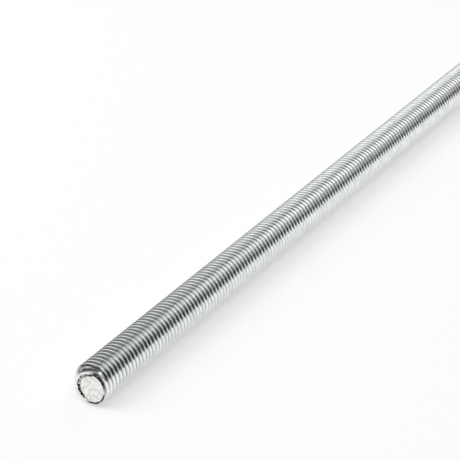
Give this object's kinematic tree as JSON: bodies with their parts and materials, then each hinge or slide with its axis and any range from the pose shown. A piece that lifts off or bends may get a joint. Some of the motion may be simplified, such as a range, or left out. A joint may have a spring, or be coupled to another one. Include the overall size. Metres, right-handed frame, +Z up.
{
  "type": "threaded rod",
  "caption": "Straight steel rod with one continuous coarse screw thread from end to end, cut off roughly at one end.",
  "frame": {"origin": "on the rod's axis, in the near end's cut face", "axes": "+X along the rod from the near end to the far end, +Z up as the rod lies"},
  "size_m": [0.3, 0.0118, 0.0118],
  "materials": {
    "zinc_plated_steel": "bright zinc plate over rolled steel threads"
  },
  "bodies": {
    "root": {"threaded_rod": "zinc_plated_steel"}
  },
  "joints": []
}
